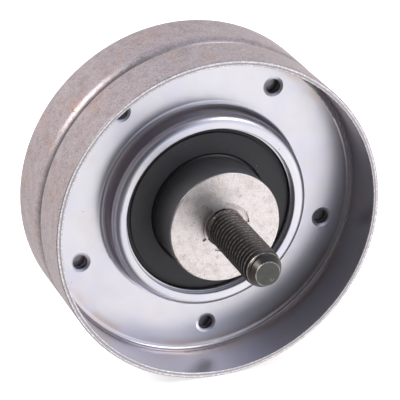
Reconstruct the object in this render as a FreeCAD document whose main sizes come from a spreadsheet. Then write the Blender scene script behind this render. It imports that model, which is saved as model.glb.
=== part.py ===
"""Belt tensioner idler: a flat steel pulley of two pressed halves on a sealed ball bearing,
carried by a turned spacer and a captive M8 bolt.

The spin axis is Y and the origin is on it, in the pulley's mid-plane, where the two halves meet.
The front, with the spacer and the bolt's thread, faces -Y.  +Z is up.  Sizes are millimetres.
Each half of the pulley and of the bearing is drawn once, with its axial sizes counted outward
from the mid-plane, and then built towards the front or the rear.
"""
import FreeCAD, Part
import Sketcher
import math
import os

FRONT = -1
REAR = 1

# Driving sizes, and the sizes worked out from them.  Axial sizes end in _y and are distances
# from the mid-plane.
SIZES = [
    ("sheet", "1.2"),
    ("rim_radius", "35"),
    ("rim_half_width", "12.7"),
    ("rim_bend", "2.4"),
    ("sheared_edge", "0.2"),
    ("rim_inner_radius", "=rim_radius - sheet"),
    ("rim_inner_bend", "=rim_bend - sheet"),
    ("race_radius", "20"),
    ("race_half_width", "6"),
    ("hub_radius", "=race_radius + sheet"),
    ("hub_edge_bend", "1.7"),
    ("hub_inner_bend", "0.5"),
    ("hub_lip_y", "=race_half_width + sheet"),
    ("hub_lip_radius", "18.35"),
    ("clinch_circle", "28.2"),
    ("clinch_count", "5"),
    ("clinch_phase", "34"),
    ("dimple_radius", "1.55"),
    ("dimple_floor_radius", "1.4"),
    ("dimple_floor_y", "0.85"),
    ("dimple_mouth_radius", "2.2"),
    ("dimple_mouth_y", "0.95"),
    ("clinch_root_y", "0.3"),
    ("plug_neck_radius", "1.95"),
    ("plug_foot_radius", "2.15"),
    ("plug_foot_y", "1.25"),
    ("button_radius", "2.75"),
    ("button_face_radius", "2.5"),
    ("button_y", "1.75"),
    ("bore_radius", "8.5"),
    ("race_corner", "1"),
    ("inner_shoulder", "12.25"),
    ("inner_edge", "0.3"),
    ("bore_corner", "0.6"),
    ("outer_shoulder", "16.75"),
    ("seal_groove_radius", "18.25"),
    ("seal_groove_floor_y", "4.4"),
    ("seal_groove_roof_y", "5.2"),
    ("seal_mouth_radius", "17.7"),
    ("seal_mouth_y", "5.5"),
    ("race_face_radius", "17.96"),
    ("ball_radius", "3.3735"),
    ("ball_circle", "14.25"),
    ("ball_count", "8"),
    ("ball_play", "0.01"),
    ("groove_curve", "=ball_radius * 1.04"),
    ("outer_groove_centre", "=ball_circle + ball_radius + ball_play - groove_curve"),
    ("inner_groove_centre", "=ball_circle - ball_radius - ball_play + groove_curve"),
    ("cage_inner_radius", "12.75"),
    ("cage_outer_radius", "15.85"),
    ("cage_sheet", "0.6"),
    ("pocket_play", "0.08"),
    ("pocket_radius", "=ball_radius + pocket_play"),
    ("pocket_outer_radius", "=pocket_radius + cage_sheet"),
    ("rivet_radius", "0.6"),
    ("rivet_head_radius", "1"),
    ("rivet_crown_radius", "0.7"),
    ("rivet_brim_y", "=cage_sheet + 0.2"),
    ("rivet_head_y", "=cage_sheet + 0.45"),
    ("rivet_x", "=ball_circle * cos(180 / ball_count)"),
    ("rivet_z", "=ball_circle * sin(180 / ball_count)"),
    ("seal_lip_radius", "12.32"),
    ("seal_lip_face_radius", "12.6"),
    ("seal_lip_foot_radius", "12.9"),
    ("seal_lip_foot_y", "4.6"),
    ("seal_lip_edge_y", "5.5"),
    ("seal_face_y", "5.75"),
    ("seal_back_y", "5.05"),
    ("seal_land_radius", "17"),
    ("seal_bead_y", "5.25"),
    ("insert_outer_radius", "16.9"),
    ("insert_back_y", "4.65"),
    ("insert_flange_radius", "16.5"),
    ("insert_flange_y", "4.45"),
    ("spacer_radius", "11.9"),
    ("spacer_face_y", "15"),
    ("spacer_edge", "0.3"),
    ("spigot_foot_y", "5.9"),
    ("bolt_hole_radius", "4.2"),
    ("stake_lip_radius", "3.78"),
    ("stake_lip_drop", "0.15"),
    ("stake_lip_depth", "0.8"),
    ("stake_lip_top_y", "=spacer_face_y - stake_lip_drop"),
    ("stake_lip_y", "=spacer_face_y - stake_lip_depth"),
    ("stake_inner_radius", "4.55"),
    ("stake_outer_radius", "5.3"),
    ("stake_depth", "0.35"),
    ("stake_y", "=spacer_face_y - stake_depth"),
    ("stake_span", "84"),
    ("stake_count", "3"),
    ("stake_root_radius", "=bolt_hole_radius + 0.3"),
    ("stake_phase", "43.8"),
    ("washer_radius", "11.9"),
    ("washer_face_y", "=race_half_width + 1.8"),
    ("washer_edge", "0.3"),
    ("head_across_flats", "13"),
    ("head_corner_radius", "=head_across_flats / sqrt(3)"),
    ("head_clear_radius", "=head_corner_radius + 1"),
    ("flange_radius", "8.9"),
    ("flange_edge_y", "=washer_face_y + 1.2"),
    ("flange_top_y", "=washer_face_y + 2.4"),
    ("head_top_y", "=washer_face_y + 8"),
    ("head_crown_radius", "=head_across_flats / 2 * 0.95"),
    ("head_crown_y", "=head_top_y - (head_clear_radius - head_crown_radius) / sqrt(3)"),
    ("head_height", "=head_top_y - flange_edge_y"),
    ("head_dish_radius", "4.2"),
    ("head_dish_floor_radius", "3.4"),
    ("head_dish_y", "=head_top_y - 0.7"),
    ("shank_radius", "4.1"),
    ("shank_end_y", "13"),
    ("neck_radius", "3.5"),
    ("neck_start_y", "=shank_end_y + 0.6"),
    ("pilot_radius", "3.98"),
    ("pilot_start_y", "=spacer_face_y + 0.1"),
    ("pilot_end_y", "=pilot_start_y + 0.8"),
    ("thread_radius", "3.94"),
    ("thread_front_radius", "3.93"),
    ("thread_root_radius", "3.23"),
    ("thread_pitch", "1.25"),
    ("thread_root_width", "=thread_pitch / 8"),
    ("neck_end_y", "=spacer_face_y - 0.1"),
    ("thread_start_y", "=pilot_end_y + 0.05"),
    ("thread_full_y", "35.2"),
    ("thread_end_radius", "3.66"),
    ("thread_end_y", "36.4"),
    ("point_radius", "2.53"),
    ("point_y", "38.4"),
    ("thread_cut_radius", "4.12"),
    ("thread_cut_half_root", "=thread_root_width / 2"),
    ("thread_cut_half_mouth", "=thread_cut_half_root + (thread_cut_radius - thread_root_radius) / sqrt(3)"),
    ("thread_cut_y", "=thread_start_y + thread_cut_half_mouth"),
    ("thread_root_low_y", "=thread_cut_y - thread_cut_half_root"),
    ("thread_root_high_y", "=thread_cut_y + thread_cut_half_root"),
    ("thread_mouth_low_y", "=thread_cut_y - thread_cut_half_mouth"),
    ("thread_mouth_high_y", "=thread_cut_y + thread_cut_half_mouth"),
    ("thread_cut_height", "=point_y - thread_cut_y + thread_pitch / 2"),
]

doc = FreeCAD.newDocument("BeltTensionerIdler")
sheet = doc.addObject("Spreadsheet::Sheet", "Sizes")
for row, (alias, value) in enumerate(SIZES, start=1):
    sheet.set(f"A{row}", alias)
    sheet.set(f"B{row}", value)
    sheet.setAlias(f"B{row}", alias)
doc.recompute()

parts = []


def size(alias):
    """The value of a named size."""
    return float(getattr(sheet, alias))


# ---------------------------------------------------------------- helpers

def new_body(label):
    """An empty body, kept in the list of sub-parts."""
    body = doc.addObject("PartDesign::Body", label)
    parts.append(body)
    return body


def origin_feature(body, role):
    """The body's own origin plane or axis with this role."""
    return next(item for item in body.Origin.OriginFeatures if item.Role == role)


def new_sketch(body, name, role="XY_Plane"):
    """An empty sketch on one of the body's origin planes."""
    sketch = body.newObject("Sketcher::SketchObject", name)
    sketch.AttachmentSupport = (origin_feature(body, role), [""])
    sketch.MapMode = "FlatFace"
    return sketch


def hold(sketch, formula, *constraint):
    """Add a dimension to a sketch and bind it to a formula of named sizes."""
    index = sketch.addConstraint(Sketcher.Constraint(*constraint))
    sketch.setExpression(f"Constraints[{index}]", formula)


def hold_point(sketch, line, kind, value, formula):
    """Hold one coordinate of a line's first point, on the side of the origin where it is drawn."""
    if abs(value) < 1e-9:
        axis = -2 if kind == "DistanceX" else -1
        sketch.addConstraint(Sketcher.Constraint("PointOnObject", line, 1, axis))
    elif value > 0:
        hold(sketch, formula, kind, -1, 1, line, 1, value)
    else:
        hold(sketch, formula, kind, line, 1, -1, 1, -value)


def draw_outline(sketch, corners, towards, beside=None):
    """Draw a closed outline of radii and axial sizes, each a named size or "0".

    A third entry of -1 puts a corner on the other side of the mid-plane.  With beside, the radii
    are counted from a construction line parallel to the spin axis, at that named radius along +X.
    """
    offset = size(beside) if beside else 0.0
    places = []
    for radius, axial, *side in corners:
        across = offset + (0.0 if radius == "0" else size(radius))
        along = 0.0 if axial == "0" else size(axial) * towards * (side[0] if side else 1)
        places.append(FreeCAD.Vector(across, along, 0))
    for start, end in zip(places, places[1:] + places[:1]):
        sketch.addGeometry(Part.LineSegment(start, end))
    for line, (place, corner) in enumerate(zip(places, corners)):
        following = (line + 1) % len(places)
        sketch.addConstraint(Sketcher.Constraint("Coincident", line, 2, following, 1))
        terms = [f"Sizes.{name}" for name in (beside, corner[0]) if name and name != "0"]
        hold_point(sketch, line, "DistanceX", place.x, " + ".join(terms))
        hold_point(sketch, line, "DistanceY", place.y, f"Sizes.{corner[1]}")
    if beside:
        foot = FreeCAD.Vector(offset, 0, 0)
        sketch.addGeometry(Part.LineSegment(foot, foot + FreeCAD.Vector(0, 1, 0)), True)
        axis = len(places)
        sketch.addConstraint(Sketcher.Constraint("Vertical", axis))
        sketch.addConstraint(Sketcher.Constraint("PointOnObject", axis, 1, -1))
        hold(sketch, "1", "DistanceY", axis, 1, axis, 2, 1)
        hold(sketch, f"Sizes.{beside}", "DistanceX", -1, 1, axis, 1, offset)


def turn(body, name, corners, towards, kind="Revolution", beside=None, span=None):
    """Turn an outline round the spin axis, or round a line beside it, adding or cutting (Groove).

    With span, a named angle, the turn stops short of a full circle, evenly on both sides of +X.
    """
    sketch = new_sketch(body, name + "Profile")
    draw_outline(sketch, corners, towards, beside)
    feature = body.newObject("PartDesign::" + kind, name)
    feature.Profile = sketch
    feature.ReferenceAxis = (sketch, ["Axis0" if beside else "V_Axis"])
    feature.Angle = 360
    if span:
        feature.Midplane = True
        feature.setExpression("Angle", f"Sizes.{span}")
    doc.recompute()
    return feature


def repeat_round(body, feature, count):
    """Repeat a feature evenly round the spin axis."""
    pattern = body.newObject("PartDesign::PolarPattern", feature.Label + "Ring")
    pattern.Originals = [feature]
    pattern.Axis = (origin_feature(body, "Y_Axis"), [""])
    pattern.Angle = 360
    pattern.setExpression("Occurrences", f"Sizes.{count}")
    body.Tip = pattern
    doc.recompute()
    return pattern


def circle_edges(shape, radius, height):
    """The names of the edges on a circle round the spin axis, by radius and signed height."""
    names = []
    for number, edge in enumerate(shape.Edges, start=1):
        curve = edge.Curve
        if isinstance(curve, Part.Circle) and abs(curve.Radius - radius) < 1e-4:
            middle = curve.Center
            if abs(middle.y - height) < 1e-4 and math.hypot(middle.x, middle.z) < 1e-4:
                names.append(f"Edge{number}")
    return names


def dress(body, name, kind, alias, edges):
    """Round (Fillet) or bevel (Chamfer) the body's edges at (named radius, signed height)."""
    base = body.Tip
    names = []
    for radius, height in edges:
        found = circle_edges(base.Shape, size(radius), height)
        if not found:
            raise ValueError(f"{body.Label}: {name} finds no edge at {radius}, {height}")
        names += found
    feature = body.newObject("PartDesign::" + kind, name)
    feature.Base = (base, names)
    feature.setExpression("Radius" if kind == "Fillet" else "Size", f"Sizes.{alias}")
    body.Tip = feature
    doc.recompute()
    return feature


def turn_whole(body, degrees):
    """Turn a finished sub-part about the spin axis, clockwise as seen from the front."""
    body.Placement = FreeCAD.Placement(
        FreeCAD.Vector(0, 0, 0), FreeCAD.Rotation(FreeCAD.Vector(0, 1, 0), degrees))


# ---------------------------------------------------------------- pulley

def pulley_half(label, towards):
    """One pressed cup: rim, web, raised hub that grips the bearing, and the hub's inward lip."""
    body = new_body(label)
    turn(body, "Cup", [
        ("rim_radius", "rim_half_width"),
        ("rim_radius", "0"),
        ("race_radius", "0"),
        ("race_radius", "race_half_width"),
        ("hub_lip_radius", "race_half_width"),
        ("hub_lip_radius", "hub_lip_y"),
        ("hub_radius", "hub_lip_y"),
        ("hub_radius", "sheet"),
        ("rim_inner_radius", "sheet"),
        ("rim_inner_radius", "rim_half_width"),
    ], towards)
    web = towards * size("sheet")
    rim_edge = towards * size("rim_half_width")
    lip_outside = towards * size("hub_lip_y")
    lip_inside = towards * size("race_half_width")
    dress(body, "OuterBends", "Fillet", "rim_bend", [("rim_radius", 0), ("race_radius", 0)])
    dress(body, "InnerBends", "Fillet", "rim_inner_bend", [
        ("rim_inner_radius", web),
        ("hub_radius", web),
    ])
    dress(body, "HubEdge", "Fillet", "hub_edge_bend", [("hub_radius", lip_outside)])
    dress(body, "HubCorner", "Fillet", "hub_inner_bend", [("race_radius", lip_inside)])
    dress(body, "ShearedEdges", "Fillet", "sheared_edge", [
        ("rim_radius", rim_edge),
        ("rim_inner_radius", rim_edge),
        ("hub_lip_radius", lip_outside),
        ("hub_lip_radius", lip_inside),
    ])
    return body


def front_half():
    """The front cup, with its sheet pressed through into the rear cup at each clinch point."""
    body = pulley_half("pulley_half_front", FRONT)
    plug = turn(body, "ClinchPlug", [
        ("0", "clinch_root_y", -1),
        ("plug_neck_radius", "clinch_root_y", -1),
        ("plug_neck_radius", "0"),
        ("plug_foot_radius", "plug_foot_y"),
        ("0", "plug_foot_y"),
    ], REAR, beside="clinch_circle")
    repeat_round(body, plug, "clinch_count")
    dimple = turn(body, "ClinchDimple", [
        ("0", "dimple_floor_y"),
        ("dimple_floor_radius", "dimple_floor_y"),
        ("dimple_radius", "0"),
        ("dimple_radius", "dimple_mouth_y", -1),
        ("dimple_mouth_radius", "sheet", -1),
        ("0", "sheet", -1),
    ], REAR, "Groove", beside="clinch_circle")
    repeat_round(body, dimple, "clinch_count")
    turn_whole(body, size("clinch_phase") - 90)


def rear_half():
    """The rear cup, with a button behind each clinch point and a socket that holds the plug."""
    body = pulley_half("pulley_half_rear", REAR)
    button = turn(body, "ClinchButton", [
        ("0", "clinch_root_y"),
        ("button_radius", "clinch_root_y"),
        ("button_radius", "sheet"),
        ("button_face_radius", "button_y"),
        ("0", "button_y"),
    ], REAR, beside="clinch_circle")
    repeat_round(body, button, "clinch_count")
    socket = turn(body, "ClinchSocket", [
        ("0", "0"),
        ("plug_neck_radius", "0"),
        ("plug_foot_radius", "plug_foot_y"),
        ("0", "plug_foot_y"),
    ], REAR, "Groove", beside="clinch_circle")
    repeat_round(body, socket, "clinch_count")
    turn_whole(body, size("clinch_phase") - 90)


# ---------------------------------------------------------------- bearing

def cut_ball_groove(body, centre):
    """Cut a ball groove: a circle of the groove's curve, turned round the spin axis."""
    sketch = new_sketch(body, "BallGrooveProfile")
    middle = FreeCAD.Vector(size(centre), 0, 0)
    sketch.addGeometry(Part.Circle(middle, FreeCAD.Vector(0, 0, 1), size("groove_curve")))
    sketch.addConstraint(Sketcher.Constraint("PointOnObject", 0, 3, -1))
    hold(sketch, f"Sizes.{centre}", "DistanceX", -1, 1, 0, 3, size(centre))
    hold(sketch, "Sizes.groove_curve", "Radius", 0, size("groove_curve"))
    feature = body.newObject("PartDesign::Groove", "BallGroove")
    feature.Profile = sketch
    feature.ReferenceAxis = (sketch, ["V_Axis"])
    feature.Angle = 360
    doc.recompute()


def outer_ring():
    """The bearing's outer ring, with a seal groove on each side of the ball groove."""
    body = new_body("bearing_outer_ring")
    rear_side = [
        ("outer_shoulder", "seal_groove_floor_y"),
        ("seal_groove_radius", "seal_groove_floor_y"),
        ("seal_groove_radius", "seal_groove_roof_y"),
        ("seal_mouth_radius", "seal_mouth_y"),
        ("race_face_radius", "race_half_width"),
        ("race_radius", "race_half_width"),
    ]
    front_side = [corner + (-1,) for corner in reversed(rear_side)]
    turn(body, "Ring", rear_side + front_side, REAR)
    edge = size("race_half_width")
    dress(body, "Corners", "Fillet", "race_corner", [("race_radius", edge), ("race_radius", -edge)])
    cut_ball_groove(body, "outer_groove_centre")


def inner_ring():
    """The bearing's inner ring, which stays still on the spacer."""
    body = new_body("bearing_inner_ring")
    turn(body, "Ring", [
        ("bore_radius", "race_half_width"),
        ("bore_radius", "race_half_width", -1),
        ("inner_shoulder", "race_half_width", -1),
        ("inner_shoulder", "race_half_width"),
    ], REAR)
    edge = size("race_half_width")
    dress(body, "BoreCorners", "Fillet", "bore_corner", [("bore_radius", edge), ("bore_radius", -edge)])
    dress(body, "Edges", "Chamfer", "inner_edge", [("inner_shoulder", edge), ("inner_shoulder", -edge)])
    cut_ball_groove(body, "inner_groove_centre")


def balls():
    """The balls, one sub-part each, evenly spaced from the top."""
    count = round(size("ball_count"))
    for number in range(count):
        ball = doc.addObject("Part::Sphere", f"ball_{number + 1}")
        ball.setExpression("Radius", "Sizes.ball_radius")
        angle = 2 * math.pi * number / count
        ball.Placement.Base = FreeCAD.Vector(
            size("ball_circle") * math.sin(angle), 0, size("ball_circle") * math.cos(angle))
        parts.append(ball)


def ball_shape(body, kind, name, radius):
    """A ball's shape at the first ball's place along +X, repeated for every ball."""
    feature = body.newObject("PartDesign::" + kind, name)
    feature.setExpression("Radius", f"Sizes.{radius}")
    feature.setExpression("Placement.Base.x", "Sizes.ball_circle")
    doc.recompute()
    repeat_round(body, feature, "ball_count")


def cage_half(label, towards):
    """One pressed ribbon of the cage: flat lands between half pockets round the balls."""
    body = new_body(label)
    ball_shape(body, "AdditiveSphere", "PocketWall", "pocket_outer_radius")
    turn(body, "Lands", [
        ("cage_inner_radius", "0"),
        ("cage_outer_radius", "0"),
        ("cage_outer_radius", "cage_sheet"),
        ("cage_inner_radius", "cage_sheet"),
    ], towards)
    ball_shape(body, "SubtractiveSphere", "Pocket", "pocket_radius")
    turn(body, "TrimOutside", [
        ("cage_outer_radius", "rim_half_width"),
        ("cage_outer_radius", "rim_half_width", -1),
        ("race_radius", "rim_half_width", -1),
        ("race_radius", "rim_half_width"),
    ], towards, "Groove")
    turn(body, "TrimInside", [
        ("0", "rim_half_width"),
        ("0", "rim_half_width", -1),
        ("cage_inner_radius", "rim_half_width", -1),
        ("cage_inner_radius", "rim_half_width"),
    ], towards, "Groove")
    turn(body, "TrimBehind", [
        ("0", "0"),
        ("0", "rim_half_width", -1),
        ("race_radius", "rim_half_width", -1),
        ("race_radius", "0"),
    ], towards, "Groove")
    sketch = new_sketch(body, "RivetHoleProfile", "XZ_Plane")
    middle = FreeCAD.Vector(size("rivet_x"), size("rivet_z"), 0)
    sketch.addGeometry(Part.Circle(middle, FreeCAD.Vector(0, 0, 1), size("rivet_radius")))
    hold(sketch, "Sizes.rivet_x", "DistanceX", -1, 1, 0, 3, middle.x)
    hold(sketch, "Sizes.rivet_z", "DistanceY", -1, 1, 0, 3, middle.y)
    hold(sketch, "Sizes.rivet_radius", "Radius", 0, size("rivet_radius"))
    hole = body.newObject("PartDesign::Pocket", "RivetHole")
    hole.Profile = sketch
    hole.Type = "ThroughAll"
    hole.Midplane = True
    doc.recompute()
    repeat_round(body, hole, "ball_count")


def cage_rivets():
    """The rivets that join the two ribbons, one between each pair of balls."""
    body = new_body("cage_rivets")
    body.AllowCompound = True
    rear_side = [
        ("rivet_radius", "cage_sheet"),
        ("rivet_head_radius", "cage_sheet"),
        ("rivet_head_radius", "rivet_brim_y"),
        ("rivet_crown_radius", "rivet_head_y"),
        ("0", "rivet_head_y"),
    ]
    front_side = [corner + (-1,) for corner in reversed(rear_side)]
    rivet = turn(body, "Rivet", rear_side + front_side, REAR, beside="ball_circle")
    repeat_round(body, rivet, "ball_count")
    turn_whole(body, 180 / size("ball_count"))


def seal(side, towards):
    """One seal: a rubber disc that snaps into the outer ring, and the steel disc that stiffens it."""
    rubber = new_body(f"seal_{side}_rubber")
    turn(rubber, "Rubber", [
        ("seal_lip_radius", "seal_lip_foot_y"),
        ("seal_lip_foot_radius", "seal_lip_foot_y"),
        ("seal_lip_foot_radius", "seal_back_y"),
        ("insert_outer_radius", "seal_back_y"),
        ("insert_outer_radius", "seal_groove_floor_y"),
        ("seal_groove_radius", "seal_groove_floor_y"),
        ("seal_groove_radius", "seal_groove_roof_y"),
        ("seal_mouth_radius", "seal_bead_y"),
        ("seal_land_radius", "seal_bead_y"),
        ("seal_land_radius", "seal_face_y"),
        ("seal_lip_face_radius", "seal_face_y"),
        ("seal_lip_radius", "seal_lip_edge_y"),
    ], towards)
    insert = new_body(f"seal_{side}_insert")
    turn(insert, "Disc", [
        ("seal_lip_foot_radius", "insert_back_y"),
        ("insert_flange_radius", "insert_back_y"),
        ("insert_flange_radius", "insert_flange_y"),
        ("insert_outer_radius", "insert_flange_y"),
        ("insert_outer_radius", "seal_back_y"),
        ("seal_lip_foot_radius", "seal_back_y"),
    ], towards)


# ---------------------------------------------------------------- mounting

def spacer():
    """The turned spacer: a collar under the mounting face, a spigot through the bearing, and a
    bolt hole whose mouth is staked in at three arcs so that the bolt can't fall out."""
    body = new_body("spacer")
    turn(body, "Sleeve", [
        ("bolt_hole_radius", "spacer_face_y"),
        ("spacer_radius", "spacer_face_y"),
        ("spacer_radius", "race_half_width"),
        ("bore_radius", "race_half_width"),
        ("bore_radius", "spigot_foot_y", -1),
        ("bolt_hole_radius", "spigot_foot_y", -1),
    ], FRONT)
    face = FRONT * size("spacer_face_y")
    dress(body, "CollarEdges", "Fillet", "spacer_edge", [("spacer_radius", face)])
    lip = turn(body, "StakeLip", [
        ("stake_lip_radius", "stake_lip_top_y"),
        ("stake_root_radius", "stake_lip_top_y"),
        ("stake_root_radius", "stake_lip_y"),
        ("stake_lip_radius", "stake_lip_y"),
    ], FRONT, span="stake_span")
    repeat_round(body, lip, "stake_count")
    mark = turn(body, "StakeMark", [
        ("stake_inner_radius", "spacer_face_y"),
        ("stake_outer_radius", "spacer_face_y"),
        ("stake_outer_radius", "stake_y"),
        ("stake_inner_radius", "stake_y"),
    ], FRONT, "Groove", span="stake_span")
    repeat_round(body, mark, "stake_count")
    turn_whole(body, size("stake_phase") - 90)


def rear_washer():
    """The thick washer between the bolt's head and the rear of the bearing's inner ring."""
    body = new_body("rear_washer")
    turn(body, "Washer", [
        ("bolt_hole_radius", "race_half_width"),
        ("washer_radius", "race_half_width"),
        ("washer_radius", "washer_face_y"),
        ("bolt_hole_radius", "washer_face_y"),
    ], REAR)
    dress(body, "WasherEdges", "Fillet", "washer_edge", [
        ("washer_radius", size("washer_face_y")),
    ])


def add_hexagon(body):
    """The bolt head's six flats, padded down to the flange."""
    sketch = new_sketch(body, "HexagonProfile", "XZ_Plane")
    sketch.setExpression("AttachmentOffset.Base.z", "-Sizes.head_top_y")
    corner = size("head_corner_radius")
    sides = 6
    places = []
    for number in range(sides):
        angle = 2 * math.pi * number / sides
        places.append(FreeCAD.Vector(corner * math.cos(angle), corner * math.sin(angle), 0))
    for start, end in zip(places, places[1:] + places[:1]):
        sketch.addGeometry(Part.LineSegment(start, end))
    sketch.addGeometry(Part.Circle(FreeCAD.Vector(0, 0, 0), FreeCAD.Vector(0, 0, 1), corner), True)
    sketch.addConstraint(Sketcher.Constraint("Coincident", sides, 3, -1, 1))
    hold(sketch, "Sizes.head_corner_radius", "Radius", sides, corner)
    for line in range(sides):
        sketch.addConstraint(Sketcher.Constraint("Coincident", line, 2, (line + 1) % sides, 1))
        sketch.addConstraint(Sketcher.Constraint("PointOnObject", line, 1, sides))
        if line:
            sketch.addConstraint(Sketcher.Constraint("Equal", 0, line))
    sketch.addConstraint(Sketcher.Constraint("PointOnObject", 0, 1, -1))
    pad = body.newObject("PartDesign::Pad", "Hexagon")
    pad.Profile = sketch
    pad.setExpression("Length", "Sizes.head_height")
    doc.recompute()


def cut_thread(body):
    """Cut the right-hand thread: a truncated vee groove swept along a helix."""
    sketch = new_sketch(body, "ThreadProfile")
    draw_outline(sketch, [
        ("thread_root_radius", "thread_root_low_y"),
        ("thread_root_radius", "thread_root_high_y"),
        ("thread_cut_radius", "thread_mouth_high_y"),
        ("thread_cut_radius", "thread_mouth_low_y"),
    ], FRONT)
    helix = body.newObject("PartDesign::SubtractiveHelix", "Thread")
    helix.Profile = sketch
    helix.ReferenceAxis = (sketch, ["V_Axis"])
    helix.Mode = "pitch-height-angle"
    helix.LeftHanded = False
    helix.Reversed = True
    helix.setExpression("Pitch", "Sizes.thread_pitch")
    helix.setExpression("Height", "Sizes.thread_cut_height")
    doc.recompute()


def bolt():
    """The flanged hexagon bolt, with a waisted neck under the staked mouth, a short plain pilot
    where the stud leaves the mounting face, and a bevelled point."""
    body = new_body("mounting_bolt")
    turn(body, "Blank", [
        ("0", "head_top_y", -1),
        ("head_dish_floor_radius", "head_top_y", -1),
        ("head_dish_floor_radius", "flange_top_y", -1),
        ("head_corner_radius", "flange_top_y", -1),
        ("flange_radius", "flange_edge_y", -1),
        ("flange_radius", "washer_face_y", -1),
        ("shank_radius", "washer_face_y", -1),
        ("shank_radius", "shank_end_y"),
        ("neck_radius", "neck_start_y"),
        ("neck_radius", "neck_end_y"),
        ("pilot_radius", "pilot_start_y"),
        ("pilot_radius", "pilot_end_y"),
        ("thread_radius", "thread_start_y"),
        ("thread_front_radius", "thread_full_y"),
        ("thread_end_radius", "thread_end_y"),
        ("point_radius", "point_y"),
        ("0", "point_y"),
    ], FRONT)
    add_hexagon(body)
    turn(body, "Crown", [
        ("head_crown_radius", "head_top_y"),
        ("head_clear_radius", "head_top_y"),
        ("head_clear_radius", "head_crown_y"),
    ], REAR, "Groove")
    turn(body, "HeadDish", [
        ("0", "head_top_y"),
        ("head_dish_radius", "head_top_y"),
        ("head_dish_floor_radius", "head_dish_y"),
        ("0", "head_dish_y"),
    ], REAR, "Groove")
    cut_thread(body)


# ---------------------------------------------------------------- build and write

def check(body):
    """Stop on any sub-part or feature that did not build cleanly."""
    for item in [body] + list(getattr(body, "Group", [])):
        if "Invalid" in item.State or "Error" in item.State:
            raise RuntimeError(f"{body.Label}: {item.Label} is {item.State}")
    shape = body.Shape
    if shape.isNull() or not shape.isValid() or not shape.Solids:
        raise RuntimeError(f"{body.Label} has no valid solid")


front_half()
rear_half()
outer_ring()
inner_ring()
balls()
cage_half("cage_half_front", FRONT)
cage_half("cage_half_rear", REAR)
cage_rivets()
seal("front", FRONT)
seal("rear", REAR)
spacer()
rear_washer()
bolt()

doc.recompute()
os.makedirs("parts", exist_ok=True)
for part in parts:
    check(part)
    part.Shape.exportStep(f"parts/{part.Label}.step")
    box = part.Shape.BoundBox
    print(f"{part.Label:20s} {part.Shape.Volume:10.2f} mm3  solids {len(part.Shape.Solids)}"
          f"  y {box.YMin:.2f} to {box.YMax:.2f}")
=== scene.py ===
"""Belt tensioner idler: materials, light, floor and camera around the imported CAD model.

The spin axis is Y, the front of the part faces -Y and +Z is up.  Blender works in metres; the sizes
named here are in millimetres unless a comment says otherwise, and MM turns them into metres.
"""
import bpy
import math
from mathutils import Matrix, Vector


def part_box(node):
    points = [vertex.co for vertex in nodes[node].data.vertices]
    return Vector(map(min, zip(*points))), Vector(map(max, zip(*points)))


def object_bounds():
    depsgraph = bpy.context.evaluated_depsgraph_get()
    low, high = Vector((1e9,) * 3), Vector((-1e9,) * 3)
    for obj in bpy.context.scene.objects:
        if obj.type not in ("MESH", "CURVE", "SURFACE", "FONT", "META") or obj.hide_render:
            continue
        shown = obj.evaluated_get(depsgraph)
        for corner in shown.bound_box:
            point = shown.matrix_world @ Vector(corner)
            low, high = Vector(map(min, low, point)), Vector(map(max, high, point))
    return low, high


MM = 0.001

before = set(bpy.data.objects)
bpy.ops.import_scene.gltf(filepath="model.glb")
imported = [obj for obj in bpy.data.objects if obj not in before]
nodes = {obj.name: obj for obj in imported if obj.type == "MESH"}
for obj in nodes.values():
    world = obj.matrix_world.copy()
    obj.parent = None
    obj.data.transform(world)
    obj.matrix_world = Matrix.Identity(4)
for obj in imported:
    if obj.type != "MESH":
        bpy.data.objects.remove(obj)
cad_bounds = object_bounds()


def half_width(node):
    """How far a node reaches from the mid-plane along the spin axis, in mm."""
    low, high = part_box(node)
    return max(-low.y, high.y) / MM


def outer_radius(node):
    """A round node's radius about the spin axis, in mm."""
    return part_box(node)[1].x / MM


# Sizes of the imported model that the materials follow, in mm, read from its nodes.
RIM_RADIUS = outer_radius("pulley_half_front")
RIM_HALF_WIDTH = half_width("pulley_half_front")
RACE_RADIUS = outer_radius("bearing_outer_ring")
RACE_HALF_WIDTH = half_width("bearing_outer_ring")
SEAL_RADIUS = outer_radius("seal_front_rubber")
SPACER_FACE = half_width("spacer")
STUD_TIP = half_width("mounting_bolt")

# Sizes of shapes inside a node, in mm.
SHEET = 1.2
RIM_BEND = 2.4
RIM_INSIDE = RIM_RADIUS - SHEET
HUB_RADIUS = RACE_RADIUS + SHEET
HUB_FACE = RACE_HALF_WIDTH + SHEET
STAKED_RADIUS = 5.3
CREST_RADIUS = 3.93
TIP_RADIUS = 2.53
BEVEL_LENGTH = 2.0
SHOULDER_RADIUS = 3.5

# The floor: half its width in metres, and the strength of its glow.
FLOOR_HALF = 3.0
FLOOR_GLOW = 0.62

# The camera: its direction in degrees, its distance and shift from the rim's front in mm, its lens.
CAMERA_AZIMUTH = -20.4
CAMERA_ELEVATION = 23.9
CAMERA_DISTANCE = 514.4
CAMERA_LEFT = 4.28
CAMERA_ABOVE = 4.67
CAMERA_LENS = 227.8
CAMERA_SENSOR = 36


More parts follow.
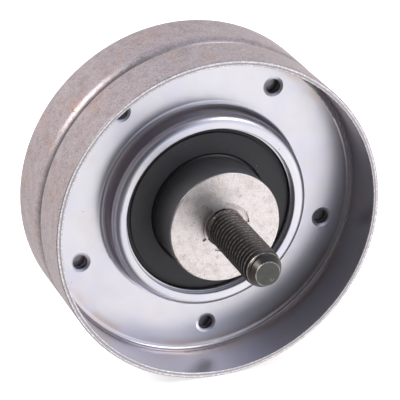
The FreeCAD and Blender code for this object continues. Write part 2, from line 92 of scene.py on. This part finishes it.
class Surface:
    """One procedural material: a Principled shader and the nodes that feed it.

    Values passed to its methods are plain numbers, colours or node outputs.  All patterns are made in
    the model's own space, so they ride with the part.
    """

    def __init__(self, name, **inputs):
        self.material = bpy.data.materials.new(name)
        self.material.use_nodes = True
        self.tree = self.material.node_tree
        self.shader = self.tree.nodes["Principled BSDF"]
        for socket, value in inputs.items():
            self.shader.inputs[socket.replace("_", " ")].default_value = value
        self.place = self.tree.nodes.new("ShaderNodeTexCoord").outputs["Object"]
        split = self.tree.nodes.new("ShaderNodeSeparateXYZ")
        self.tree.links.new(self.place, split.inputs[0])
        self.x, self.y, self.z = (self.maths("DIVIDE", axis, MM) for axis in split.outputs)
        self.radius = self.length(self.x, self.z)
        self.height = self.maths("ABSOLUTE", self.y)

    def put(self, socket, value):
        """Feed a socket from a node output, or set it to a plain value."""
        if isinstance(value, bpy.types.NodeSocket):
            self.tree.links.new(value, socket)
        elif isinstance(value, tuple) and len(value) == 3 and len(socket.default_value) == 4:
            socket.default_value = (*value, 1.0)
        else:
            socket.default_value = value

    def maths(self, operation, *values):
        """The result of one operation on plain numbers or node outputs."""
        node = self.tree.nodes.new("ShaderNodeMath")
        node.operation = operation
        for socket, value in zip(node.inputs, values):
            self.put(socket, value)
        return node.outputs[0]

    def both(self, first, second):
        """1 where both masks are 1."""
        return self.maths("MULTIPLY", first, second)

    def length(self, first, second):
        """The length of the hypotenuse over two sides."""
        squares = (self.maths("MULTIPLY", side, side) for side in (first, second))
        return self.maths("SQRT", self.maths("ADD", *squares))

    def step(self, value, start, end, low=0.0, high=1.0):
        """Rises smoothly from low to high as value goes from start to end."""
        node = self.tree.nodes.new("ShaderNodeMapRange")
        node.interpolation_type = "SMOOTHSTEP"
        for name, given in zip(("Value", "From Min", "From Max", "To Min", "To Max"),
                               (value, start, end, low, high)):
            self.put(node.inputs[name], given)
        return node.outputs[0]

    def band(self, value, centre, width):
        """A soft line: 1 where value is centre, and 0 from width away on either side."""
        away = self.maths("ABSOLUTE", self.maths("SUBTRACT", value, centre))
        return self.step(away, 0.0, width, 1.0, 0.0)

    def shifted(self, *shift):
        """The model's own space, moved so that two patterns of one kind differ."""
        move = self.tree.nodes.new("ShaderNodeMapping")
        self.tree.links.new(self.place, move.inputs["Vector"])
        move.inputs["Location"].default_value = shift
        return move.outputs[0]

    def noise(self, grain, detail=2.0, roughness=0.5, offset=0.0, warp=0.0):
        """Smooth noise from 0 to 1 with features about grain mm across."""
        node = self.tree.nodes.new("ShaderNodeTexNoise")
        self.tree.links.new(self.shifted(offset, offset * 0.7, -offset), node.inputs["Vector"])
        node.inputs["Scale"].default_value = 1 / (grain * MM)
        node.inputs["Detail"].default_value = detail
        node.inputs["Roughness"].default_value = roughness
        node.inputs["Distortion"].default_value = warp
        return node.outputs["Fac"]

    def specks(self, spacing, size, offset=0.0):
        """Scattered dots: 1 inside a dot about size mm across, one dot to a cell of spacing mm."""
        node = self.tree.nodes.new("ShaderNodeTexVoronoi")
        self.tree.links.new(self.shifted(offset, -offset, offset * 0.3), node.inputs["Vector"])
        node.inputs["Scale"].default_value = 1 / (spacing * MM)
        reach = size / spacing / 2
        return self.step(node.outputs["Distance"], reach * 0.55, reach, 1.0, 0.0)

    def rings(self, along, pitch):
        """Fine turned or ground lines: noise that only changes along one measure, in mm."""
        node = self.tree.nodes.new("ShaderNodeTexNoise")
        node.noise_dimensions = "1D"
        self.put(node.inputs["W"], self.maths("DIVIDE", along, pitch))
        node.inputs["Scale"].default_value = 1.0
        node.inputs["Detail"].default_value = 3.0
        return node.outputs["Fac"]

    def stroke(self, start, end, width=0.13):
        """A fine scratch seen along the spin axis, from one point (x, z) to another, in mm."""
        (x0, z0), (x1, z1) = start, end
        length = math.hypot(x1 - x0, z1 - z0)
        ux, uz = (x1 - x0) / length, (z1 - z0) / length
        dx, dz = self.maths("SUBTRACT", self.x, x0), self.maths("SUBTRACT", self.z, z0)
        along = self.maths("ADD", self.maths("MULTIPLY", dx, ux), self.maths("MULTIPLY", dz, uz))
        aside = self.maths("SUBTRACT", self.maths("MULTIPLY", dx, uz), self.maths("MULTIPLY", dz, ux))
        return self.both(self.band(aside, 0.0, width), self.band(along, length / 2, length * 0.7))

    def mix(self, share, first, second):
        """first where share is 0 and second where it is 1, for colours."""
        node = self.tree.nodes.new("ShaderNodeMix")
        node.data_type = "RGBA"
        colours = [s for s in node.inputs if s.type == "RGBA"]
        self.put(node.inputs[0], share)
        self.put(colours[0], first)
        self.put(colours[1], second)
        return next(s for s in node.outputs if s.type == "RGBA")

    def wash(self, colour, where, strength, other):
        """The colour, with the other laid over it at some strength where the mask is 1."""
        return self.mix(self.maths("MULTIPLY", where, strength), colour, other)

    def between(self, share, first, second):
        """first where share is 0 and second where it is 1, for plain numbers."""
        node = self.tree.nodes.new("ShaderNodeMix")
        node.data_type = "FLOAT"
        floats = [s for s in node.inputs if s.type == "VALUE"]
        self.put(floats[0], share)
        self.put(floats[1], first)
        self.put(floats[2], second)
        return node.outputs[0]

    def bump(self, height, depth, under=None):
        """Relief depth mm deep from a height of 0 to 1, on top of another bump."""
        node = self.tree.nodes.new("ShaderNodeBump")
        node.inputs["Distance"].default_value = depth * MM
        self.put(node.inputs["Height"], height)
        if under is not None:
            self.tree.links.new(under, node.inputs["Normal"])
        return node.outputs["Normal"]

    def finish(self, colour, roughness, normal, metallic=None):
        """Feed the shader and hand over the material."""
        for name, value in (("Base Color", colour), ("Roughness", roughness),
                            ("Normal", normal), ("Metallic", metallic)):
            if value is not None:
                self.put(self.shader.inputs[name], value)
        return self.material


def dress(material, *names):
    """Give CAD nodes a material in every one of their slots."""
    for name in names:
        for slot in nodes[name].material_slots:
            slot.material = material


def belt_colour(s, fog, grain, valley):
    """Where the belt runs: dull, stained and smeared, with dark squiggles and a burnished valley painted
    lighter as a painted highlight.
    """
    brown_grey, pink_grey = (0.475, 0.375, 0.368), (0.540, 0.468, 0.485)
    pale, shade = (0.58, 0.51, 0.525), (0.32, 0.26, 0.27)
    rust, smeared = (0.58, 0.36, 0.27), (0.72, 0.69, 0.71)
    dark_grain, mark = (0.20, 0.17, 0.18), (0.10, 0.08, 0.09)
    # The pale valley colour stands for burnished steel and a painted highlight.
    rubbed_and_highlight = (0.76, 0.71, 0.71)
    cloud = s.noise(9.0, detail=4.0, roughness=0.6)
    stain = s.step(s.noise(5.0, detail=5.0, roughness=0.68, offset=0.77, warp=0.6), 0.53, 0.68)
    smear = s.step(s.noise(3.0, detail=5.0, roughness=0.75, offset=0.63, warp=2.0), 0.58, 0.68)
    squiggle = s.step(s.noise(1.0, detail=4.0, roughness=0.8, offset=0.53, warp=2.5), 0.57, 0.62)
    patch = s.step(s.noise(7.0, offset=0.37), 0.42, 0.56)
    colour = s.mix(cloud, brown_grey, pink_grey)
    colour = s.wash(colour, s.step(fog, 0.42, 0.70), 0.5, pale)
    colour = s.wash(colour, s.step(fog, 0.52, 0.30), 0.5, shade)
    colour = s.wash(colour, stain, 0.55, rust)
    colour = s.wash(colour, smear, 0.3, smeared)
    colour = s.wash(colour, s.step(grain, 0.62, 0.38), 0.45, dark_grain)
    colour = s.wash(colour, s.both(squiggle, patch), 0.8, mark)
    # The valley is painted lighter: partly burnished wear, partly a painted highlight.
    return s.wash(colour, valley, s.between(fog, 0.35, 0.80), rubbed_and_highlight)


def plating_colour(s, tint, haze, rim_wall):
    """Inside: bright bluish plating with dark specks of grime, painted shade on the pressed walls and in
    the dimples, and a brownish painted reflection in patches by the rim wall.
    """
    cool, warm = (0.76, 0.75, 0.84), (0.82, 0.805, 0.85)
    cream, milky = (0.80, 0.75, 0.72), (0.70, 0.69, 0.76)
    hub_wall_shade, rim_wall_shade = (0.20, 0.170, 0.178), (0.56, 0.51, 0.53)
    straw, speck, dimple_shade = (0.62, 0.46, 0.34), (0.10, 0.09, 0.10), (0.10, 0.09, 0.09)
    below_hub_face = s.step(s.height, HUB_FACE - 0.6, HUB_FACE - 2.0)
    hub_wall = s.both(s.band(s.radius, HUB_RADIUS - 0.2, 1.3), below_hub_face)
    # A brownish painted reflection in patches on the fillet round the rim wall.
    fillet_reflection = s.both(s.band(s.radius, RIM_INSIDE - 1.6, 1.5), s.step(tint, 0.44, 0.58))
    in_a_dimple = s.step(s.height, SHEET - 0.05, SHEET - 0.35)
    colour = s.mix(s.step(tint, 0.38, 0.62), cool, warm)
    patches = s.step(s.noise(8.0, detail=3.0, roughness=0.6, offset=0.44), 0.52, 0.72)
    colour = s.wash(colour, patches, 0.5, cream)
    colour = s.wash(colour, s.step(haze, 0.45, 0.8), 0.12, milky)
    # Painted shade: the hub's pressed wall is darkened strongly.
    colour = s.wash(colour, hub_wall, 0.9, hub_wall_shade)
    # Painted shade: the inside of the rim wall is darkened.
    colour = s.wash(colour, rim_wall, 0.6, rim_wall_shade)
    # Painted reflection: a brownish tint in patches along the rim's fillet.
    colour = s.wash(colour, fillet_reflection, 0.45, straw)
    colour = s.wash(colour, s.specks(4.2, 0.30, offset=0.4), 0.85, speck)
    # Painted shade: the insides of the clinch dimples are darkened.
    return s.wash(colour, in_a_dimple, 0.82, dimple_shade)


def cut_edge_colour(s, grain):
    """The rim's cut edge: bare grey steel along its middle, painted white along both rounded corners as
    a painted highlight.
    """
    grey, bright, dark_grain = (0.42, 0.39, 0.41), (1.0, 0.98, 1.0), (0.34, 0.31, 0.33)
    from_middle = s.maths("ABSOLUTE", s.maths("SUBTRACT", s.radius, RIM_RADIUS - 0.6 * SHEET))
    # Painted highlight: white along both rounded corners of the cut edge, grey between them.
    colour = s.mix(s.step(from_middle, 0.08 * SHEET, 0.24 * SHEET), grey, bright)
    return s.wash(colour, s.step(grain, 0.60, 0.44), 0.55, dark_grain)


def pulley_steel():
    """Zinc-plated pressed sheet: bright and bluish inside, stained and worn matt where the belt runs."""
    s = Surface("zinc_sheet")
    past_bend = s.maths("MAXIMUM", s.maths("SUBTRACT", s.radius, RIM_RADIUS - RIM_BEND), 0.0)
    short_of_bend = s.maths("MAXIMUM", s.maths("SUBTRACT", RIM_BEND, s.height), 0.0)
    from_bend = s.length(past_bend, short_of_bend)
    outside = s.step(from_bend, RIM_BEND - 0.45 * SHEET, RIM_BEND - 0.25 * SHEET)
    valley = s.band(s.height, 0.0, 1.1)
    rim_wall = s.step(s.radius, RIM_INSIDE - 2.2, RIM_INSIDE - 0.2)
    at_rim_face = s.step(s.height, RIM_HALF_WIDTH - 0.12, RIM_HALF_WIDTH - 0.04)
    edge = s.both(at_rim_face, s.step(s.radius, RIM_RADIUS - 0.10, RIM_RADIUS - 0.25))

    fog = s.noise(2.4, detail=5.0, roughness=0.66, offset=0.31)
    grain = s.noise(0.35, detail=3.0, roughness=0.7, offset=0.11)
    tint = s.noise(14.0, offset=0.91)
    haze = s.noise(2.6, detail=3.0, roughness=0.55, offset=0.19)
    inside = plating_colour(s, tint, haze, rim_wall)
    colour = s.mix(outside, inside, belt_colour(s, fog, grain, valley))
    colour = s.mix(edge, colour, cut_edge_colour(s, grain))

    satin = s.between(rim_wall, s.between(haze, 0.29, 0.35), 0.27)
    worn = s.between(valley, s.between(fog, 0.38, 0.54), 0.24)
    roughness = s.between(edge, s.between(outside, satin, worn), 0.34)
    metallic = s.between(outside, s.between(rim_wall, 0.92, 1.0), 0.78)
    waves = s.bump(s.noise(6.0, offset=0.67), 0.012)
    return s.finish(colour, roughness, s.bump(grain, 0.002, waves), metallic)


def ring_steel():
    """Hardened ring steel, ground all round, painted near black on the inner ring's faces beside the
    seals.
    """
    s = Surface("ground_ring_steel", Metallic=1.0)
    lines = s.rings(s.maths("ADD", s.radius, s.height), 0.12)
    by_lip = s.step(s.radius, RACE_RADIUS - 5.5, RACE_RADIUS - 7.0)
    darkened = s.both(by_lip, s.step(s.height, RACE_HALF_WIDTH - 1.0, RACE_HALF_WIDTH - 0.6))
    colour = s.mix(lines, (0.50, 0.50, 0.52), (0.66, 0.66, 0.68))
    # Near black on the inner ring's faces beside the seals.
    colour = s.wash(colour, darkened, 0.93, (0.035, 0.032, 0.032))
    roughness = s.between(darkened, s.between(s.noise(1.5, detail=3.0), 0.16, 0.30), 0.45)
    return s.finish(colour, roughness, s.bump(lines, 0.002))


def ball_steel():
    """Lapped ball steel with a trace of grease."""
    s = Surface("ball_steel", Metallic=1.0)
    darkened = s.step(s.noise(1.6, detail=3.0, roughness=0.6, offset=0.2), 0.45, 0.7)
    colour = s.mix(darkened, (0.80, 0.80, 0.82), (0.66, 0.63, 0.56))
    return s.finish(colour, s.between(darkened, 0.05, 0.22), s.bump(s.noise(0.4), 0.001))


def cage_steel():
    """Pressed strip, as rolled."""
    s = Surface("cage_strip_steel", Metallic=1.0)
    lines = s.rings(s.radius, 0.15)
    oil = s.step(s.noise(2.0, detail=4.0), 0.5, 0.8)
    colour = s.mix(lines, (0.42, 0.41, 0.39), (0.56, 0.55, 0.52))
    colour = s.wash(colour, oil, 0.4, (0.36, 0.33, 0.28))
    return s.finish(colour, s.between(s.noise(0.8), 0.28, 0.42), s.bump(lines, 0.003))


def seal_rubber():
    """Moulded nitrile rubber: matt and a little dusty, with painted shade near black in the groove round
    its edge.
    """
    s = Surface("moulded_rubber", Metallic=0.0, Specular_IOR_Level=0.42)
    bloom = s.noise(4.0, detail=4.0, roughness=0.6, offset=0.27)
    dusty_patch = s.step(s.noise(3.0, detail=1.0, offset=0.8), 0.44, 0.52)
    dust = s.both(s.specks(1.9, 0.26, offset=0.21), dusty_patch)
    groove = s.step(s.radius, SEAL_RADIUS - 0.75, SEAL_RADIUS - 0.45)
    colour = s.mix(bloom, (0.044, 0.040, 0.042), (0.070, 0.064, 0.067))
    colour = s.wash(colour, dust, 0.75, (0.40, 0.39, 0.38))
    # Painted shade: the groove round the seal's edge is painted near black.
    colour = s.wash(colour, groove, 0.85, (0.008, 0.007, 0.007))
    relief = s.bump(s.noise(0.18, roughness=0.6), 0.004)
    return s.finish(colour, s.between(bloom, 0.46, 0.60), relief)


def insert_steel():
    """The thin plate inside a seal."""
    s = Surface("insert_plate_steel", Metallic=1.0)
    lines = s.rings(s.radius, 0.2)
    colour = s.mix(lines, (0.40, 0.40, 0.41), (0.52, 0.52, 0.53))
    return s.finish(colour, s.between(s.noise(1.0), 0.30, 0.42), s.bump(lines, 0.003))


def spacer_steel():
    """Turned steel collar with a blasted, stained mounting face."""
    s = Surface("spacer_steel", Metallic=1.0)
    at_face = s.step(s.height, SPACER_FACE - 0.12, SPACER_FACE - 0.04)
    blasted = s.maths("MAXIMUM", at_face, s.step(s.radius, STAKED_RADIUS + 0.15, STAKED_RADIUS))
    turned = s.rings(s.height, 0.14)
    pits = s.noise(0.14, roughness=0.7, offset=0.35)
    cloud = s.noise(2.6, detail=5.0, roughness=0.68, offset=0.62)
    rust = s.step(s.noise(0.7, detail=5.0, roughness=0.8, offset=0.47), 0.56, 0.64)
    below_face = s.step(s.height, SPACER_FACE - 0.02, SPACER_FACE - 0.10)
    stake_groove = s.both(below_face, s.step(s.radius, STAKED_RADIUS + 0.3, STAKED_RADIUS + 0.1))
    side = s.mix(turned, (0.34, 0.33, 0.335), (0.46, 0.445, 0.45))
    face = s.mix(s.step(cloud, 0.36, 0.56), (0.84, 0.77, 0.74), (1.0, 0.945, 0.93))
    face = s.wash(face, s.step(pits, 0.54, 0.36), 0.62, (0.42, 0.35, 0.32))
    face = s.wash(face, rust, 0.6, (0.44, 0.34, 0.28))
    # Painted shade: the staked groove round the bolt is darkened.
    face = s.wash(face, stake_groove, 0.35, (0.40, 0.35, 0.33))
    roughness = s.between(blasted, 0.46, s.between(cloud, 0.36, 0.44))
    texture = s.between(blasted, turned, s.noise(0.22, detail=3.0, roughness=0.7))
    return s.finish(s.mix(blasted, side, face), roughness, s.bump(texture, 0.010))


def washer_steel():
    """Zinc-plated washer with faint turning lines."""
    s = Surface("zinc_washer", Metallic=1.0)
    lines = s.rings(s.radius, 0.18)
    colour = s.mix(s.noise(3.0, detail=3.0), (0.60, 0.61, 0.64), (0.72, 0.72, 0.74))
    colour = s.wash(colour, s.specks(2.5, 0.2), 0.6, (0.20, 0.19, 0.18))
    return s.finish(colour, s.between(s.noise(1.2), 0.26, 0.38), s.bump(lines, 0.004))


def black_steel():
    """Phosphated bolt, with painted highlights in flecks on its crests and corners, painted shade on its
    bevel, and scratches on its end.
    """
    s = Surface("phosphated_bolt_steel", Metallic=0.9)
    grain = s.noise(0.20, detail=3.0, roughness=0.7)
    cloud = s.noise(1.6, detail=4.0, roughness=0.65, offset=0.5)
    fleck = s.step(s.noise(0.55, detail=4.0, roughness=0.8, offset=0.83), 0.47, 0.60)
    crest = s.band(s.radius, CREST_RADIUS + 0.04, 0.14)
    bevel_start = STUD_TIP - BEVEL_LENGTH
    bevel = s.step(s.height, bevel_start - 0.1, bevel_start + 0.1)
    end = s.step(s.height, STUD_TIP - 0.06, STUD_TIP - 0.02)
    near_end = s.step(s.height, STUD_TIP - 0.2, STUD_TIP - 0.1)
    corner = s.both(s.band(s.radius, TIP_RADIUS, 0.17), near_end)
    on_shoulder = s.step(s.radius, SHOULDER_RADIUS, SHOULDER_RADIUS + 0.1)
    shoulder = s.both(s.band(s.height, bevel_start, 0.16), on_shoulder)
    scratch_foot = (0.85, -1.75)
    scratches = s.maths("MAXIMUM", s.stroke((0.45, -0.95), scratch_foot),
                        s.stroke((1.25, -1.15), scratch_foot))
    # Painted highlights on the tip's corner and on the shoulder, with real scratches on the end.
    worn = s.maths("MAXIMUM", s.maths("MAXIMUM", corner, shoulder), s.both(scratches, end))

    end_colour = s.mix(cloud, (0.070, 0.073, 0.068), (0.140, 0.140, 0.130))
    colour = s.mix(cloud, (0.062, 0.051, 0.045), (0.115, 0.098, 0.088))
    colour = s.wash(colour, s.step(grain, 0.5, 0.75), 0.5, (0.20, 0.18, 0.17))
    # Painted highlight: the thread crests are painted lighter in flecks.
    colour = s.wash(colour, crest, s.between(fleck, 0.12, 0.95), (0.52, 0.47, 0.44))
    # Painted shade: the bevel towards the tip is darkened.
    colour = s.wash(colour, bevel, 0.6, (0.040, 0.034, 0.031))
    colour = s.mix(end, colour, end_colour)
    # Painted highlights on the corner and shoulder, and the scratches on the end, lighter in flecks.
    colour = s.wash(colour, worn, s.step(fleck, 0.0, 0.6, 0.30, 1.0), (0.60, 0.58, 0.55))
    return s.finish(colour, s.between(cloud, 0.32, 0.46), s.bump(grain, 0.006))


dress(pulley_steel(), "pulley_half_front", "pulley_half_rear")
dress(ring_steel(), "bearing_outer_ring", "bearing_inner_ring")
dress(ball_steel(), *(name for name in nodes if name.startswith("ball_")))
dress(cage_steel(), "cage_half_front", "cage_half_rear", "cage_rivets")
dress(seal_rubber(), "seal_front_rubber", "seal_rear_rubber")
dress(insert_steel(), "seal_front_insert", "seal_rear_insert")
dress(spacer_steel(), "spacer")
dress(washer_steel(), "rear_washer")
dress(black_steel(), "mounting_bolt")


# The floor, the light and the camera.
def pale_floor():
    """Matt white, with a little glow that only the camera sees, so that it comes out plain white."""
    material = bpy.data.materials.new("pale_floor")
    material.use_nodes = True
    tree = material.node_tree
    shader = tree.nodes["Principled BSDF"]
    shader.inputs["Base Color"].default_value = (0.86, 0.86, 0.86, 1)
    shader.inputs["Roughness"].default_value = 0.9
    shader.inputs["Emission Color"].default_value = (1, 1, 1, 1)
    glow = tree.nodes.new("ShaderNodeMath")
    glow.operation = "MULTIPLY"
    glow.inputs[1].default_value = FLOOR_GLOW
    tree.links.new(tree.nodes.new("ShaderNodeLightPath").outputs["Is Camera Ray"], glow.inputs[0])
    tree.links.new(glow.outputs[0], shader.inputs["Emission Strength"])
    return material


def make_floor(level, half):
    """A square floor at the part's lowest point, unseen in its mirror-like reflections."""
    corners = [(x, y, level) for x, y in ((-half, -half), (half, -half), (half, half), (-half, half))]
    mesh = bpy.data.meshes.new("floor")
    mesh.from_pydata(corners, [], [(0, 1, 2, 3)])
    floor = bpy.data.objects.new("floor", mesh)
    bpy.context.scene.collection.objects.link(floor)
    mesh.materials.append(pale_floor())
    floor.visible_glossy = False


def area_light(name, place, size, power):
    """A square softbox that faces the part: place and size in metres, power in watts."""
    data = bpy.data.lights.new(name, "AREA")
    data.size = size
    data.energy = power
    light = bpy.data.objects.new(name, data)
    bpy.context.scene.collection.objects.link(light)
    light.location = place
    light.rotation_euler = (-Vector(place)).to_track_quat("-Z", "Y").to_euler()
    light.visible_camera = False


def make_world():
    """A white room that is darker to the front left, where the camera stands, and plain white to it."""
    world = bpy.data.worlds.new("studio")
    bpy.context.scene.world = world
    world.use_nodes = True
    tree = world.node_tree
    tree.nodes.clear()
    link, new = tree.links.new, tree.nodes.new
    direction = new("ShaderNodeTexCoord").outputs["Generated"]

    def ramp(toward, start, end, low, high):
        """From low to high as the direction's share of an axis goes from start to end."""
        along = new("ShaderNodeVectorMath")
        along.operation = "DOT_PRODUCT"
        link(direction, along.inputs[0])
        along.inputs[1].default_value = toward
        shade = new("ShaderNodeMapRange")
        shade.interpolation_type = "SMOOTHSTEP"
        link(along.outputs["Value"], shade.inputs["Value"])
        for name, value in (("From Min", start), ("From Max", end), ("To Min", low), ("To Max", high)):
            shade.inputs[name].default_value = value
        return shade.outputs["Result"]

    def maths(operation, first, second):
        node = new("ShaderNodeMath")
        node.operation = operation
        link(first, node.inputs[0])
        link(second, node.inputs[1])
        return node.outputs[0]

    side = ramp((1.0, 0.0, 0.0), -0.12, 0.26, 0.10, 1.25)
    less_above = ramp((0.0, 0.0, 1.0), -0.20, 0.50, 1.0, 0.50)
    back = ramp((0.0, 1.0, 0.0), -0.30, 0.20, 0.0, 0.95)
    tone = new("ShaderNodeMix")
    tone.data_type = "RGBA"
    link(ramp((0.0, -0.5, 1.0), 0.0, 0.9, 0.0, 1.0), tone.inputs["Factor"])
    warm, cool = (socket for socket in tone.inputs if socket.type == "RGBA")
    warm.default_value = (1.0, 0.985, 0.99, 1)
    cool.default_value = (0.74, 0.82, 1.0, 1)
    around = new("ShaderNodeBackground")
    link(next(socket for socket in tone.outputs if socket.type == "RGBA"), around.inputs["Color"])
    link(maths("MAXIMUM", maths("MULTIPLY", side, less_above), back), around.inputs["Strength"])
    backdrop = new("ShaderNodeBackground")
    backdrop.inputs["Color"].default_value = (1, 1, 1, 1)
    choose = new("ShaderNodeMixShader")
    link(new("ShaderNodeLightPath").outputs["Is Camera Ray"], choose.inputs[0])
    link(around.outputs[0], choose.inputs[1])
    link(backdrop.outputs[0], choose.inputs[2])
    link(choose.outputs[0], new("ShaderNodeOutputWorld").inputs["Surface"])


def make_camera():
    """From the front, to the left and above, through a long lens."""
    azimuth, elevation = math.radians(CAMERA_AZIMUTH), math.radians(CAMERA_ELEVATION)
    back = Vector((math.sin(azimuth) * math.cos(elevation),
                   -math.cos(azimuth) * math.cos(elevation), math.sin(elevation)))
    right = Vector((math.cos(azimuth), math.sin(azimuth), 0))
    above = back.cross(right)
    rim_front = Vector((0, -RIM_HALF_WIDTH, 0))
    place = rim_front - CAMERA_LEFT * right + CAMERA_ABOVE * above + CAMERA_DISTANCE * back
    data = bpy.data.cameras.new("camera")
    data.sensor_width = CAMERA_SENSOR
    data.lens = CAMERA_LENS
    data.clip_start, data.clip_end = 0.01, 20
    camera = bpy.data.objects.new("camera", data)
    bpy.context.scene.collection.objects.link(camera)
    camera.location = place * MM
    camera.rotation_euler = (-back).to_track_quat("-Z", "Y").to_euler()
    bpy.context.scene.camera = camera


make_floor(cad_bounds[0].z, FLOOR_HALF)
make_world()
area_light("key_front_right", (0.55, -0.50, 0.62), size=0.45, power=2.0)
area_light("upper_left_strip", (-0.52, 0.0, 0.46), size=0.26, power=3.2)
make_camera()
bpy.context.scene.view_settings.view_transform = "Standard"
